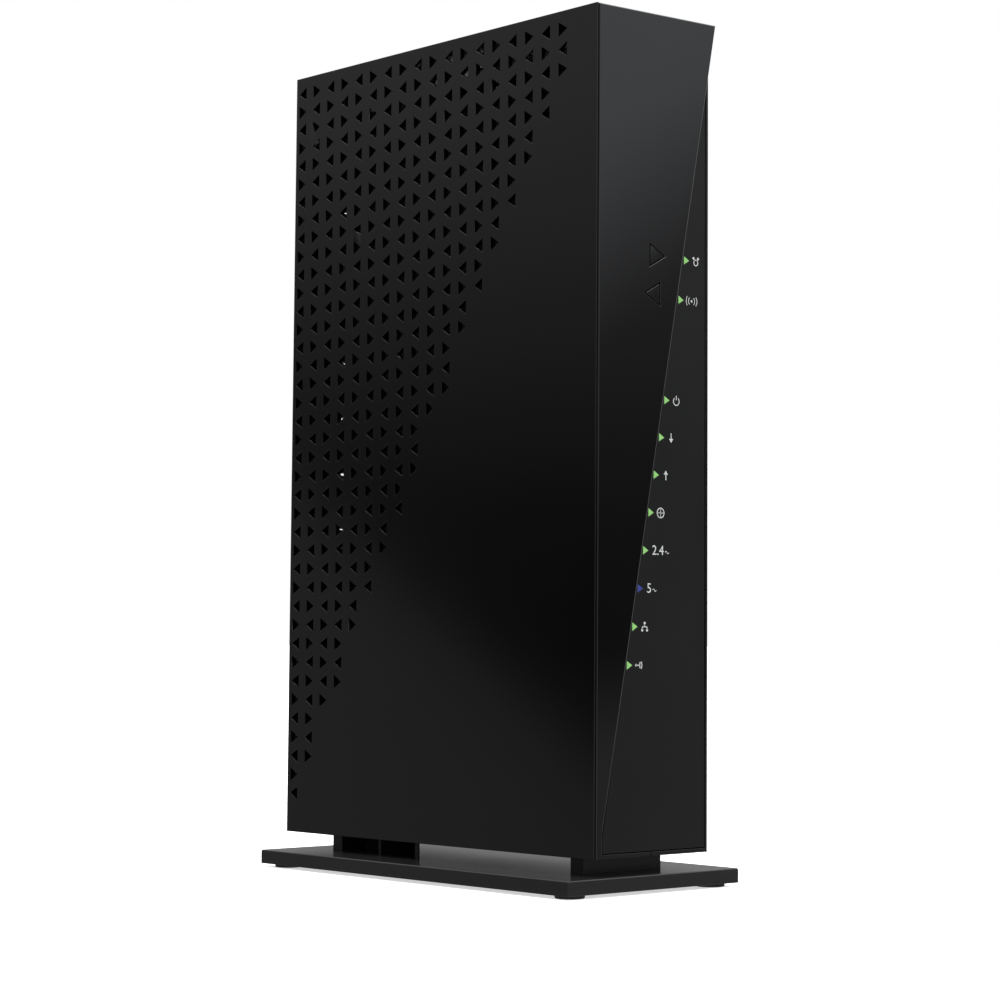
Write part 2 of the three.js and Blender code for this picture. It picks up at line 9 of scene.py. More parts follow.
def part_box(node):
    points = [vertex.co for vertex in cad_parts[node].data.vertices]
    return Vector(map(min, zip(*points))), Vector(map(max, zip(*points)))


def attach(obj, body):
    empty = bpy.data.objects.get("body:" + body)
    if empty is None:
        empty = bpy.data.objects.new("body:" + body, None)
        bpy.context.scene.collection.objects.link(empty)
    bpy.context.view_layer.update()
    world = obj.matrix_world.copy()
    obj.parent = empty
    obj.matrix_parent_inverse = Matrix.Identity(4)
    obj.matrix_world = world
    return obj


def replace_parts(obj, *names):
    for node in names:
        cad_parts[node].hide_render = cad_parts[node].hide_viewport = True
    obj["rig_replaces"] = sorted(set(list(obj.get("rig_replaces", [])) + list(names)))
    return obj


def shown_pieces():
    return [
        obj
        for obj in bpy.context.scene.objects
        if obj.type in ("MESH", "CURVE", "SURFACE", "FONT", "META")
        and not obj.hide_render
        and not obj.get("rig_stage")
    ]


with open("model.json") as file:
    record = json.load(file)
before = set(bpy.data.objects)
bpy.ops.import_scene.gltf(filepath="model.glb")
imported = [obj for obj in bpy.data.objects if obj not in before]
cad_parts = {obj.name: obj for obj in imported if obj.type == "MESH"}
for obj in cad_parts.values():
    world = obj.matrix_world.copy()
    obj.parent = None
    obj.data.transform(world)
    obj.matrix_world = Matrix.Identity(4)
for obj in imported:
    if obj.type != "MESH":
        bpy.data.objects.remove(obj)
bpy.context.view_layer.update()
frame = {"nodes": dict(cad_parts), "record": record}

# ---- Camera and studio ----
# The modem stands on a pale table and is seen from its front left, a little above its foot.
# A big soft light hangs overhead, and a plain studio stands around it.
mm = 0.001
scene = bpy.context.scene
scene.view_settings.view_transform = "Standard"


def linked(name, data):
    """A new object in the scene around some data."""
    item = bpy.data.objects.new(name, data)
    scene.collection.objects.link(item)
    return item


camera_data = bpy.data.cameras.new("camera")
camera_data.sensor_width = 36
camera_data.lens = 93.3
camera_data.shift_x = -0.1
camera_data.shift_y = -0.06
camera = linked("camera", camera_data)
scene.camera = camera
camera_heading = radians(42.9)
camera_tilt = radians(4.46)
camera_roll = radians(0.27)
camera_place = (-485.5 * mm, -572.4 * mm, 66.6 * mm)
camera.matrix_world = (
    Matrix.Translation(camera_place)
    @ Matrix.Rotation(-camera_heading, 4, "Z")
    @ Matrix.Rotation(pi / 2 + camera_tilt, 4, "X")
    @ Matrix.Rotation(camera_roll, 4, "Z")
)


def aim(light_object, target):
    run = Vector(target) - light_object.location
    light_object.rotation_euler = run.to_track_quat("-Z", "Y").to_euler()


overhead = bpy.data.lights.new("overhead_light", "AREA")
overhead.shape = "RECTANGLE"
overhead.size = 2.2
overhead.size_y = 2.2
overhead.energy = 42
overhead_card = linked("overhead_light", overhead)
overhead_card.location = (0.1, 0.1, 1.7)
aim(overhead_card, (0, 0, 0))
overhead_card.visible_camera = False

# The room is drawn by direction: a big bright screen at the front right with a soft lower edge,
# a dimmer one at the back left, a narrow strip on each side, and dull light from the table below.
world = bpy.data.worlds.new("studio")
scene.world = world
world.use_nodes = True
room = world.node_tree
room.nodes.clear()
direction = room.nodes.new("ShaderNodeTexCoord").outputs["Generated"]


def along(x, y, z):
    """How far a direction points along an axis."""
    product = room.nodes.new("ShaderNodeVectorMath")
    product.operation = "DOT_PRODUCT"
    product.inputs[1].default_value = (x, y, z)
    room.links.new(direction, product.inputs[0])
    return product.outputs["Value"]


lowest_stop = -0.5
highest_stop = 1


def brightness(value, *stops, tint=(1, 1, 1)):
    """A curve of light through (position, strength) stops, from the lowest stop to the highest."""
    curve = room.nodes.new("ShaderNodeMapRange")
    curve.inputs["From Min"].default_value = lowest_stop
    curve.inputs["From Max"].default_value = highest_stop
    ramp = room.nodes.new("ShaderNodeValToRGB")
    ramp.color_ramp.interpolation = "LINEAR"
    points = ramp.color_ramp.elements
    while len(points) < len(stops):
        points.new(1)
    for point, (position, strength) in zip(points, stops):
        point.position = (position - lowest_stop) / (highest_stop - lowest_stop)
        point.color = (*[strength * part for part in tint], 1)
    room.links.new(value, curve.inputs["Value"])
    room.links.new(curve.outputs["Result"], ramp.inputs["Fac"])
    return ramp.outputs["Color"]


def mixed(kind, a, b):
    """Two curves of light added or multiplied."""
    step = room.nodes.new("ShaderNodeMix")
    step.data_type = "RGBA"
    step.blend_type = kind
    step.inputs["Factor"].default_value = 1
    room.links.new(a, step.inputs["A"])
    room.links.new(b, step.inputs["B"])
    return step.outputs["Result"]


height = along(0, 0, 1)
screen_slope = 0.67
screen_heading = radians(145)
screen_height = along(screen_slope * cos(screen_heading), -screen_slope * sin(screen_heading), 1)
screen_side = along(sin(screen_heading), cos(screen_heading), 0)
front_screen = mixed("MULTIPLY",
                     brightness(screen_height, (0.12, 0), (0.14, 0.14), (0.19, 0.57),
                                (0.21, 0.65), (0.4, 0.68), tint=(0.95, 1, 1.06)),
                     brightness(screen_side, (0.3, 0), (0.75, 1)))
front_low = mixed("MULTIPLY",
                  brightness(height, (-0.3, 0.1), (-0.045, 0.27), (-0.005, 0)),
                  brightness(screen_side, (0.3, 0), (0.7, 1)))
back_slope = 0.87
back_heading = radians(-40)
back_edge = along(-back_slope * cos(back_heading), back_slope * sin(back_heading), 1)
back_side = along(sin(back_heading), cos(back_heading), 0)
back_screen = brightness(height, (0, 0.005), (0.05, 0.03), (0.13, 0.17), (0.21, 0.33),
                         (0.45, 0.5), (0.65, 1.1), (1, 0.9))
back_low = mixed("MULTIPLY",
                 brightness(back_edge, (-0.012, 0.19), (0.008, 0)),
                 brightness(back_side, (-0.5, 0), (0, 1)))
front_fill = brightness(screen_side, (0, 0), (0.4, 0.05))
strip_heading = radians(98)
right_strip = mixed("MULTIPLY",
                    brightness(along(sin(strip_heading), cos(strip_heading), 0), (0.9, 0), (0.97, 1)),
                    brightness(height, (-0.3, 0.2), (-0.05, 1), (0.4, 1), (0.6, 0.3)))
left_heading = radians(265)
left_fill = mixed("MULTIPLY",
                  brightness(along(sin(left_heading), cos(left_heading), 0), (0.84, 0), (0.97, 0.4)),
                  brightness(height, (-0.45, 0.8), (0, 1), (0.5, 1), (0.8, 0.4)))
room_light = mixed("ADD", mixed("ADD", front_screen, front_low), mixed("ADD", back_screen, back_low))
room_light = mixed("ADD", room_light, left_fill)
table_glare = brightness(height, (-0.5, 0.5), (-0.35, 0.25), (-0.2, 0))
room_light = mixed("ADD", mixed("ADD", room_light, front_fill), mixed("ADD", right_strip, table_glare))

seen_by = room.nodes.new("ShaderNodeLightPath")
backdrop = room.nodes.new("ShaderNodeBackground")
backdrop.inputs["Color"].default_value = (1, 1, 1, 1)
surroundings = room.nodes.new("ShaderNodeBackground")
either = room.nodes.new("ShaderNodeMixShader")
room_out = room.nodes.new("ShaderNodeOutputWorld")
room.links.new(room_light, surroundings.inputs["Color"])
room.links.new(seen_by.outputs["Is Camera Ray"], either.inputs[0])
room.links.new(surroundings.outputs[0], either.inputs[1])
room.links.new(backdrop.outputs[0], either.inputs[2])
room.links.new(either.outputs[0], room_out.inputs["Surface"])


def plain_material(name):
    """A new material, its node tree and its shader."""
    material = bpy.data.materials.new(name)
    material.use_nodes = True
    return material, material.node_tree, material.node_tree.nodes["Principled BSDF"]


table_paint, table_tree, table_shader = plain_material("table_paint")
table_shader.inputs["Base Color"].default_value = (0.9, 0.9, 0.9, 1)
table_shader.inputs["Roughness"].default_value = 0.9
table_shader.inputs["Emission Color"].default_value = (1, 1, 1, 1)
table_place = table_tree.nodes.new("ShaderNodeTexCoord")
table_distance = table_tree.nodes.new("ShaderNodeVectorMath")
table_distance.operation = "LENGTH"
table_glow = table_tree.nodes.new("ShaderNodeMapRange")
table_glow.interpolation_type = "SMOOTHSTEP"
table_glow.inputs["From Min"].default_value = 0.3
table_glow.inputs["From Max"].default_value = 1.2
table_glow.inputs["To Min"].default_value = 0.58
table_tree.links.new(table_place.outputs["Object"], table_distance.inputs[0])
table_tree.links.new(table_distance.outputs["Value"], table_glow.inputs["Value"])
table_tree.links.new(table_glow.outputs["Result"], table_shader.inputs["Emission Strength"])
table_data = bpy.data.meshes.new("table")
reach = 30
table_data.from_pydata([(-reach, -reach, 0), (reach, -reach, 0), (reach, reach, 0), (-reach, reach, 0)],
                       [], [(0, 1, 2, 3)])
table_data.materials.append(table_paint)
table_top = linked("table", table_data)
table_top.visible_glossy = False
table_top.visible_diffuse = False
table_top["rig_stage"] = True

# ---- Case covers ----
# Two moulded halves of satin black plastic that meet along the top and the underside. A field
# of triangular vent holes, every second one turned round, fills the side above one diagonal.
# The halves snap together and are held by the screws of the stand.
cover_low, cover_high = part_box("left_cover")
side_x = cover_low.x
front_y = cover_low.y
back_y = cover_high.y
top_z = cover_high.z

vent_side = 4 * mm
vent_depth = vent_side * sqrt(3) / 2
vent_columns = 18
vent_rows = 39
column_pitch = 6.95 * mm
row_pitch = 5.565 * mm
first_column = 3.2 * mm
first_row = 5.04 * mm
columns_lost_per_row = 0.47
points_back_reach = 0.17
diagonal_room = 0.075
cover_wall = 1.6 * mm


def speckle_group():
    """Fine moulded grain: a slow drift in roughness and a small, even height."""
    group = bpy.data.node_groups.new("moulded grain", "ShaderNodeTree")
    face = group.interface
    for name, value in (("Grain Scale", 2600), ("Drift Scale", 22), ("Low", 0.4), ("High", 0.5)):
        face.new_socket(name, in_out="INPUT", socket_type="NodeSocketFloat").default_value = value
    face.new_socket("Roughness", in_out="OUTPUT", socket_type="NodeSocketFloat")
    face.new_socket("Height", in_out="OUTPUT", socket_type="NodeSocketFloat")
    nodes, links = group.nodes, group.links
    given = nodes.new("NodeGroupInput")
    result = nodes.new("NodeGroupOutput")
    place = nodes.new("ShaderNodeTexCoord")
    grain = nodes.new("ShaderNodeTexNoise")
    grain.inputs["Detail"].default_value = 3
    drift = nodes.new("ShaderNodeTexNoise")
    drift.inputs["Detail"].default_value = 4
    spread = nodes.new("ShaderNodeMapRange")
    spread.inputs["From Min"].default_value = 0.3
    spread.inputs["From Max"].default_value = 0.7
    for noise, scale in ((grain, "Grain Scale"), (drift, "Drift Scale")):
        links.new(place.outputs["Object"], noise.inputs["Vector"])
        links.new(given.outputs[scale], noise.inputs["Scale"])
    links.new(drift.outputs["Fac"], spread.inputs["Value"])
    links.new(given.outputs["Low"], spread.inputs["To Min"])
    links.new(given.outputs["High"], spread.inputs["To Max"])
    links.new(spread.outputs["Result"], result.inputs["Roughness"])
    links.new(grain.outputs["Fac"], result.inputs["Height"])
    return group


moulded_grain = speckle_group()


def tint_group():
    """A slow blend between two near colours, so that no surface is one flat colour."""
    group = bpy.data.node_groups.new("colour drift", "ShaderNodeTree")
    face = group.interface
    face.new_socket("Scale", in_out="INPUT", socket_type="NodeSocketFloat").default_value = 30
    face.new_socket("Colour A", in_out="INPUT", socket_type="NodeSocketColor")
    face.new_socket("Colour B", in_out="INPUT", socket_type="NodeSocketColor")
    face.new_socket("Colour", in_out="OUTPUT", socket_type="NodeSocketColor")
    nodes, links = group.nodes, group.links
    given = nodes.new("NodeGroupInput")
    result = nodes.new("NodeGroupOutput")
    place = nodes.new("ShaderNodeTexCoord")
    drift = nodes.new("ShaderNodeTexNoise")
    drift.inputs["Detail"].default_value = 5
    blend = nodes.new("ShaderNodeMix")
    blend.data_type = "RGBA"
    links.new(place.outputs["Object"], drift.inputs["Vector"])
    links.new(given.outputs["Scale"], drift.inputs["Scale"])
    links.new(drift.outputs["Fac"], blend.inputs["Factor"])
    links.new(given.outputs["Colour A"], blend.inputs["A"])
    links.new(given.outputs["Colour B"], blend.inputs["B"])
    links.new(blend.outputs["Result"], result.inputs["Colour"])
    return group


colour_drift = tint_group()


def plastic(name, dark, light, low, high, grain=2600, bump=0.05, drift=22, metallic=0.0, specular=0.5):
    """A plastic or metal finish with the shared grain and colour drift, at this material's values."""
    material, tree, shader = plain_material(name)
    texture = tree.nodes.new("ShaderNodeGroup")
    texture.node_tree = moulded_grain
    texture.inputs["Grain Scale"].default_value = grain
    texture.inputs["Drift Scale"].default_value = drift
    texture.inputs["Low"].default_value = low
    texture.inputs["High"].default_value = high
    tint = tree.nodes.new("ShaderNodeGroup")
    tint.node_tree = colour_drift
    tint.inputs["Scale"].default_value = drift * 1.5
    tint.inputs["Colour A"].default_value = (*dark, 1)
    tint.inputs["Colour B"].default_value = (*light, 1)
    relief = tree.nodes.new("ShaderNodeBump")
    relief.inputs["Strength"].default_value = bump
    relief.inputs["Distance"].default_value = 0.1 * mm
    tree.links.new(texture.outputs["Height"], relief.inputs["Height"])
    tree.links.new(relief.outputs["Normal"], shader.inputs["Normal"])
    tree.links.new(texture.outputs["Roughness"], shader.inputs["Roughness"])
    tree.links.new(tint.outputs["Colour"], shader.inputs["Base Color"])
    shader.inputs["Metallic"].default_value = metallic
    shader.inputs["Specular IOR Level"].default_value = specular
    return material


satin_case = plastic("satin_case", (0.0034, 0.0034, 0.0036), (0.0044, 0.0044, 0.0046), 0.09, 0.11,
                     bump=0.012)


def solid_copy(node, name):
    """A new object with a frame solid's shape, ready to be given edges."""
    data = frame["nodes"][node].data.copy()
    data.name = name
    data.materials.clear()
    return linked(name, data)


def round_edges(piece, width, segments=2, sharper_than=30, short_share=1.0, short=20 * mm):
    """Makes flat faces whole, then rounds each sharp edge that has room, and leaves the rest crisp."""
    shape = bmesh.new()
    shape.from_mesh(piece.data)
    bmesh.ops.remove_doubles(shape, verts=shape.verts, dist=0.002 * mm)
    bmesh.ops.dissolve_limit(shape, angle_limit=radians(0.4), verts=shape.verts, edges=shape.edges)
    weight = shape.edges.layers.float.new("bevel_weight_edge")
    for face in shape.faces:
        face.smooth = True
    for edge in shape.edges:
        if len(edge.link_faces) != 2 or edge.calc_face_angle(0) < radians(sharper_than):
            continue
        near = [other.calc_length() for vert in edge.verts for other in vert.link_edges]
        share = 1 if edge.calc_length() > short else short_share
        if min(near) > 2.2 * width * share:
            edge[weight] = share
        else:
            edge.smooth = False
    shape.to_mesh(piece.data)
    shape.free()
    rounding = piece.modifiers.new("rounded edges", "BEVEL")
    rounding.width = width
    rounding.segments = segments
    rounding.limit_method = "WEIGHT"
    rounding.use_clamp_overlap = False
    shading = piece.modifiers.new("flat faces", "WEIGHTED_NORMAL")
    shading.keep_sharp = True
    shading.weight = 100
    return piece


def fit(piece, body, slot, material, *nodes):
    """Gives a finished piece its finish and its place in the assembly."""
    piece.data.materials.append(material)
    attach(piece, body)
    if nodes:
        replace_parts(piece, *nodes)
    return piece


def vent_places():
    """Middle of each hole, back edge to front and top to bottom, and which way it points."""
    for row in range(vent_rows):
        for column in range(vent_columns):
            points_back = (row + column) % 2 == 0
            reaches = column + columns_lost_per_row * row + (points_back_reach if points_back else 0)
            if reaches <= vent_columns + diagonal_room:
                y = back_y - first_column - column * column_pitch
                z = top_z - first_row - row * row_pitch
                yield y, z, 1 if points_back else -1


def vent_cutter(outer, inner):
    """All the vent holes of one side as triangular plugs through the wall."""
    corners = []
    faces = []
    for y, z, way in vent_places():
        start = len(corners)
        for x in (outer, inner):
            corners.append((x, y + way * vent_depth / 2, z))
            corners.append((x, y - way * vent_depth / 2, z + vent_side / 2))
            corners.append((x, y - way * vent_depth / 2, z - vent_side / 2))
        near = [start, start + 1, start + 2]
        far = [i + 3 for i in near]
        faces.append(near)
        faces.append(far[::-1])
        for i in range(3):
            j = (i + 1) % 3
            faces.append([near[j], near[i], far[i], far[j]])
    data = bpy.data.meshes.new("vent_plugs")
    data.from_pydata(corners, [], faces)
    shape = bmesh.new()
    shape.from_mesh(data)
    bmesh.ops.recalc_face_normals(shape, faces=shape.faces)
    shape.to_mesh(data)
    shape.free()
    return linked("vent_plugs", data)


def cut(piece, cutter, operation="DIFFERENCE"):
    """Cuts piece with cutter for good, and removes cutter."""
    step = piece.modifiers.new("cut", "BOOLEAN")
    step.operation = operation
    step.solver = "EXACT"
    step.object = cutter
    depsgraph = bpy.context.evaluated_depsgraph_get()
    data = bpy.data.meshes.new_from_object(piece.evaluated_get(depsgraph))
    data.materials.clear()
    piece.modifiers.clear()
    piece.data = data
    bpy.data.objects.remove(cutter)


for cover, way in (("left_cover", -1), ("right_cover", 1)):
    shell = solid_copy(cover, cover + "_vented")
    wall_x = way * abs(side_x)
    cut(shell, vent_cutter(wall_x + way * mm, wall_x - way * (cover_wall + 0.05 * mm)))
    round_edges(shell, 0.1 * mm)
    fit(shell, "body", "satin_black", satin_case, cover)

# ---- Front wedge ----
# A separate high gloss black moulding over the upper left of the front. Its face slopes out
# towards the top right, and its edge along the crease stands proud of the panel beside it.
# Clips on its back hold it to the covers.
gloss_front = plastic("gloss_front", (0.0026, 0.0025, 0.003), (0.0034, 0.0033, 0.004), 0.05, 0.08,
                      grain=900, bump=0.004, drift=12)
wedge = round_edges(solid_copy("front_fascia", "front_wedge"), 0.5 * mm, 4, short_share=0.4)
fit(wedge, "body", "gloss_black", gloss_front, "front_fascia")

# ---- Front panel ----
# A smooth satin plate let into the lower right of the front, with ten triangular window holes
# beside the crease and two hidden posts for the status board.
satin_panel = plastic("satin_panel", (0.0065, 0.0065, 0.0065), (0.008, 0.008, 0.008), 0.28, 0.32,
                      grain=1800, bump=0.03, specular=0.34)
panel = round_edges(solid_copy("front_panel", "front_face_panel"), 0.12 * mm)
fit(panel, "body", "panel_black", satin_panel, "front_panel")

# ---- Status windows ----
# The ends of the clear light pipe, flush with the panel. Coloured light from the status board
# comes up each one: nine are green and one is blue.
window_side = 2.2 * mm
panel_low, panel_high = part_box("front_panel")
pipe_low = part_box("status_light_pipe")[0]


def lit_window(name, colour, glow):
    """A slightly cloudy colour that glows by itself."""
    material, tree, shader = plain_material(name)
    place = tree.nodes.new("ShaderNodeTexCoord")
    cloud = tree.nodes.new("ShaderNodeTexNoise")
    cloud.inputs["Scale"].default_value = 1400
    tone = tree.nodes.new("ShaderNodeValToRGB")
    tone.color_ramp.elements[0].color = (*[c * 0.8 for c in colour], 1)
    tone.color_ramp.elements[1].color = (*colour, 1)
    tree.links.new(place.outputs["Object"], cloud.inputs["Vector"])
    tree.links.new(cloud.outputs["Fac"], tone.inputs["Fac"])
    tree.links.new(tone.outputs["Color"], shader.inputs["Base Color"])
    tree.links.new(tone.outputs["Color"], shader.inputs["Emission Color"])
    shader.inputs["Emission Strength"].default_value = glow
    shader.inputs["Roughness"].default_value = 0.25
    return material


green_window = lit_window("green_window", (0.2, 0.42, 0.13), 0.85)
blue_window = lit_window("blue_window", (0.035, 0.04, 0.2), 0.7)
clear_pipe = plastic("clear_pipe", (0.62, 0.78, 0.6), (0.7, 0.85, 0.66), 0.12, 0.2, bump=0.01)

window_low_x = pipe_low.x + 2 * mm
window_low_z = pipe_low.z + 2 * mm
window_pitch = 10.25 * mm
window_lean = 0.19
window_heights = [i * window_pitch for i in range(8)] + [99.7 * mm, 110.8 * mm]
window_places = [(window_low_x + rise * window_lean, window_low_z + rise) for rise in window_heights]
blue_index = 2


def triangle(x, z, side):
    """The outline of an even triangle that points right."""
    reach = side / sqrt(3)
    return [(x + reach * cos(a), z + reach * sin(a)) for a in (0, tau / 3, 2 * tau / 3)]


def from_shape(name, shape):
    """A new object in the scene from a finished shape."""
    data = bpy.data.meshes.new(name)
    shape.to_mesh(data)
    shape.free()
    return linked(name, data)


def slab(name, outlines, front, back):
    """Flat solids with the given (x, z) outlines, between two depths, as one new object."""
    shape = bmesh.new()
    for outline in outlines:
        face = shape.faces.new([shape.verts.new((x, back, z)) for x, z in outline])
        made = bmesh.ops.extrude_face_region(shape, geom=[face])
        moved = [item for item in made["geom"] if isinstance(item, bmesh.types.BMVert)]
        bmesh.ops.translate(shape, verts=moved, vec=(0, front - back, 0))
    bmesh.ops.recalc_face_normals(shape, faces=shape.faces)
    return from_shape(name, shape)


pipe = round_edges(solid_copy("status_light_pipe", "light_pipe"), 0.08 * mm)
fit(pipe, "body", "clear_guide", clear_pipe, "status_light_pipe")

# A thin dark strip behind the crease is painted shade: it stands in for the shade inside the joint.
joint_shade_sheet = plastic("joint_shade_sheet", (0.006, 0.006, 0.006), (0.01, 0.01, 0.01), 0.85, 0.95,
                    grain=1200, bump=0.4)
panel_thickness = 1.4 * mm
skin_back = front_y + panel_thickness
crease_lean = 0.1765
crease_sheet_width = 1.4 * mm
crease_sheet_low = panel_low.z + 4.5 * mm
crease_sheet_high = panel_high.z - 7.5 * mm
crease_sheet_left = panel_low.x - 0.85 * mm
crease_sheet_run = (crease_sheet_high - crease_sheet_low) * crease_lean
crease_sheet_outline = [(crease_sheet_left, crease_sheet_low), (crease_sheet_left + crease_sheet_width, crease_sheet_low),
                (crease_sheet_left + crease_sheet_run + crease_sheet_width, crease_sheet_high), (crease_sheet_left + crease_sheet_run, crease_sheet_high)]
# The dark strip sits just behind the crease gap, as painted shade for the joint.
crease_sheet = slab("crease_shade_sheet", [crease_sheet_outline], skin_back + 0.03 * mm, skin_back + 0.23 * mm)
fit(crease_sheet, "body", "panel_black", joint_shade_sheet)

for index, (x, z) in enumerate(window_places):
    window = slab(f"status_window_{index + 1}", [triangle(x, z, window_side)],
                  front_y - 0.04 * mm, front_y + 0.3 * mm)
    round_edges(window, 0.06 * mm)
    fit(window, "body", "clear_guide", blue_window if index == blue_index else green_window)

# ---- Printed symbols ----
# White ink printed on the panel beside each window: plain generic signs for pairing, radio,
# power, data down, data up, network, the two radio bands, wired links and accessory socket.
symbol_shift = 3.85 * mm
symbol_size = 2.6 * mm
ink_depth = 0.03 * mm
stroke = 0.27 * mm
number_shift = 2.6 * mm
white_ink = plastic("white_ink", (0.72, 0.72, 0.72), (0.8, 0.8, 0.8), 0.5, 0.6, bump=0.02)


def bar(x0, z0, x1, z1, width=1.0):
    """A straight stroke between two points, in symbol units of one symbol size."""
    run = Vector((x1 - x0, z1 - z0))
    side = Vector((-run.y, run.x)).normalized() * stroke / symbol_size / 2 * width
    return [(x0 + side.x, z0 + side.y), (x1 + side.x, z1 + side.y),
            (x1 - side.x, z1 - side.y), (x0 - side.x, z0 - side.y)]


def disc(x, z, radius, sides=20):
    turns = [i * tau / sides for i in range(sides)]
    return [(x + radius * cos(turn), z + radius * sin(turn)) for turn in turns]


def arc(x, z, radius, start, end, width=1.0):
    """A curved stroke as a chain of short straight-sided tiles."""
    half = stroke / symbol_size / 2 * width
    steps = max(6, round(abs(end - start) / 12))
    tiles = []
    for i in range(steps):
        a = radians(start + (end - start) * i / steps)
        b = radians(start + (end - start) * (i + 1) / steps)
        ring = [(radius + half, a), (radius + half, b), (radius - half, b), (radius - half, a)]
        tiles.append([(x + r * cos(t), z + r * sin(t)) for r, t in ring])
    return tiles


def arrow(way):
    """An arrow that points down for 1 and up for -1."""
    tip = -0.5 * way
    head = [(0, tip), (-0.3, tip + 0.42 * way), (0.3, tip + 0.42 * way)]
    return [head, bar(0, tip + 0.4 * way, 0, 0.5 * way, 1.2)]


def pairing_sign():
    return [disc(-0.34, 0.34, 0.15), disc(0.34, 0.34, 0.15), *arc(0, -0.12, 0.3, 0, 360),
            bar(-0.25, 0.25, -0.12, 0.1), bar(0.25, 0.25, 0.12, 0.1)]


def radio_sign():
    tiles = [disc(0, 0, 0.13)]
    for turn in (0, 180):
        tiles += arc(0, 0, 0.46, turn - 50, turn + 50, 0.8)
        tiles += arc(0, 0, 0.8, turn - 36, turn + 36, 0.8)
    return tiles


def power_sign():
    return [*arc(0, -0.04, 0.42, 130, 410), bar(0, 0.1, 0, 0.56)]


def globe_sign():
    return [*arc(0, 0, 0.5, 0, 360), bar(-0.5, 0, 0.5, 0, 0.7), bar(0, -0.5, 0, 0.5, 0.7)]


def wired_sign():
    return [disc(0, 0.38, 0.15), disc(-0.34, -0.34, 0.15), disc(0.34, -0.34, 0.15), bar(0, 0.3, 0, 0),
            bar(-0.34, 0, 0.34, 0), bar(-0.34, 0, -0.34, -0.3), bar(0.34, 0, 0.34, -0.3)]


def socket_sign():
    return [bar(-0.5, 0, 0.1, 0), disc(-0.46, 0, 0.13), bar(0.08, -0.32, 0.08, 0.32, 1.2),
            bar(0.08, 0.3, 0.4, 0.3), bar(0.08, -0.3, 0.4, -0.3), *arc(0.08, 0, 0.3, -90, 90)]


def wave_sign():
    return [*arc(-0.2, -0.12, 0.2, 180, 0), *arc(0.2, -0.12, 0.2, 180, 360)]


def print_symbol(name, tiles, x, z, size=symbol_size, depth=front_y, toward=-1):
    """Lays a symbol's tiles on a face as a skin of ink; toward is -1 on the front and 1 at the back."""
    outlines = [[(x - toward * u * size, z + v * size) for u, v in tile] for tile in tiles]
    ink = slab(name, outlines, depth + toward * ink_depth, depth)
    return fit(ink, "body", "panel_black", white_ink)


def print_number(name, text, x, z, height, depth=front_y, toward=-1):
    """A number as a skin of ink, on the same faces as a symbol."""
    lettering = bpy.data.curves.new(name, "FONT")
    lettering.body = text
    lettering.size = height * 1.42
    lettering.extrude = ink_depth / 2
    lettering.align_y = "CENTER"
    writer = linked(name, lettering)
    turn = Matrix.Rotation(pi if toward > 0 else 0, 4, "Z") @ Matrix.Rotation(pi / 2, 4, "X")
    writer.matrix_world = Matrix.Translation((x, depth + toward * ink_depth / 2, z)) @ turn
    bpy.context.view_layer.update()
    data = bpy.data.meshes.new_from_object(writer)
    data.transform(writer.matrix_world)
    bpy.data.objects.remove(writer)
    shape = bmesh.new()
    shape.from_mesh(data)
    bmesh.ops.remove_doubles(shape, verts=shape.verts, dist=0.001 * mm)
    shape.to_mesh(data)
    shape.free()
    data.materials.clear()
    return fit(linked(name, data), "body", "panel_black", white_ink)


window_signs = {0: socket_sign(), 1: wired_sign(), 4: globe_sign(), 5: arrow(-1), 6: arrow(1),
                7: power_sign(), 8: radio_sign(), 9: pairing_sign()}
wide_sign_room = {8: 0.5 * mm}
for index, tiles in window_signs.items():
    x, z = window_places[index]
    print_symbol(f"symbol_{index + 1}", tiles, x + symbol_shift + wide_sign_room.get(index, 0), z)
for index, text, tail in ((2, "5", 2.9 * mm), (3, "2.4", 5.6 * mm)):
    x, z = window_places[index]
    print_number(f"band_{index + 1}", text, x + number_shift, z, symbol_size)
    print_symbol(f"band_wave_{index + 1}", wave_sign(), x + number_shift + tail, z - 0.2 * mm, 1.6 * mm)

# ---- Front push buttons ----
# Two triangular caps in the wedge, one pointing each way, moulded in the same gloss black.
# Each slides in its hole and presses a small switch on the status board.
for button in ("wps_button", "wifi_button"):
    cap = round_edges(solid_copy(button, button + "_cap"), 0.18 * mm, 3)
    fit(cap, button, "panel_black", gloss_front, button)

# ---- Rear panel ----
# A matte black plate with a fine spark-eroded texture, across the back, with a window for each
# socket and button. Two screws hold it, and small numbers and signs are printed on it.
matte_rear = plastic("matte_rear", (0.0085, 0.0085, 0.0088), (0.011, 0.011, 0.0114), 0.42, 0.5,
                     grain=1500, bump=0.12)
rear = round_edges(solid_copy("rear_panel", "rear_face_panel"), 0.15 * mm)
fit(rear, "body", "satin_black", matte_rear, "rear_panel")
rear_low, rear_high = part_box("rear_panel")

# Dark bands behind the plate, round it and beside each socket, are painted shade: they stand in for the
# shade inside the narrow joints.
band_width = 1.2 * mm
band_gap = 0.03 * mm
band_end = 0.3 * mm
joint = 0.25 * mm


def rectangle(x0, x1, z0, z1):
    return [(x0, z0), (x1, z0), (x1, z1), (x0, z1)]


